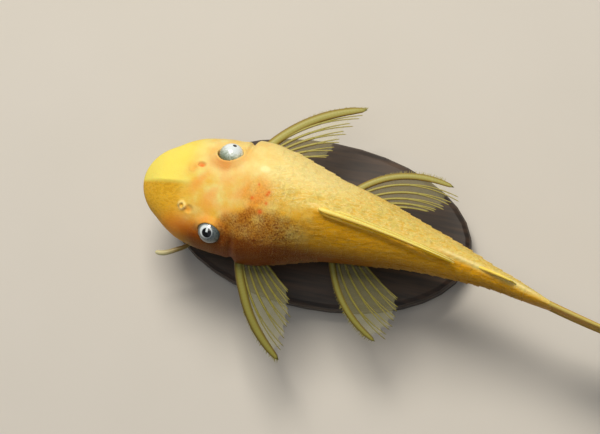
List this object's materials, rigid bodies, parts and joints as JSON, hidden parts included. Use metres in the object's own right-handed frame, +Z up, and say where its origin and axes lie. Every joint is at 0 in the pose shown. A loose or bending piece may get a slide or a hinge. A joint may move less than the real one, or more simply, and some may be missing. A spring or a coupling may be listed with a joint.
{
  "type": "bristlenose pleco",
  "caption": "Life-size model of a golden bristlenose pleco with fanned fins and a gently bent tail, held over an oval base on short rods.",
  "frame": {"origin": "centre of the underside of the stand's base", "axes": "+Z up, the head points to -X, the fish's right side is +Y, and the tail bends towards -Y"},
  "size_m": [0.1087, 0.056, 0.0344],
  "materials": {
    "skin": "moist satin, plated and granular",
    "fin": "thin, translucent between the rays",
    "eye": "clear and wet",
    "lip": "soft and moist",
    "base_wood": "dark satin",
    "rod_steel": "satin"
  },
  "bodies": {
    "root": {"head": "skin", "trunk": "skin", "tail": "skin", "eye_right": "eye", "eye_left": "eye", "sucker_mouth": "lip", "barbel_left": "lip", "barbel_right": "lip", "pectoral_fin_right": "fin", "pectoral_fin_left": "fin", "pelvic_fin_right": "fin", "pelvic_fin_left": "fin", "dorsal_fin": "fin", "adipose_fin": "fin", "anal_fin": "fin", "caudal_fin": "fin", "stand_base": "base_wood", "stand_rod_front": "rod_steel", "stand_rod_rear": "rod_steel"}
  },
  "joints": []
}
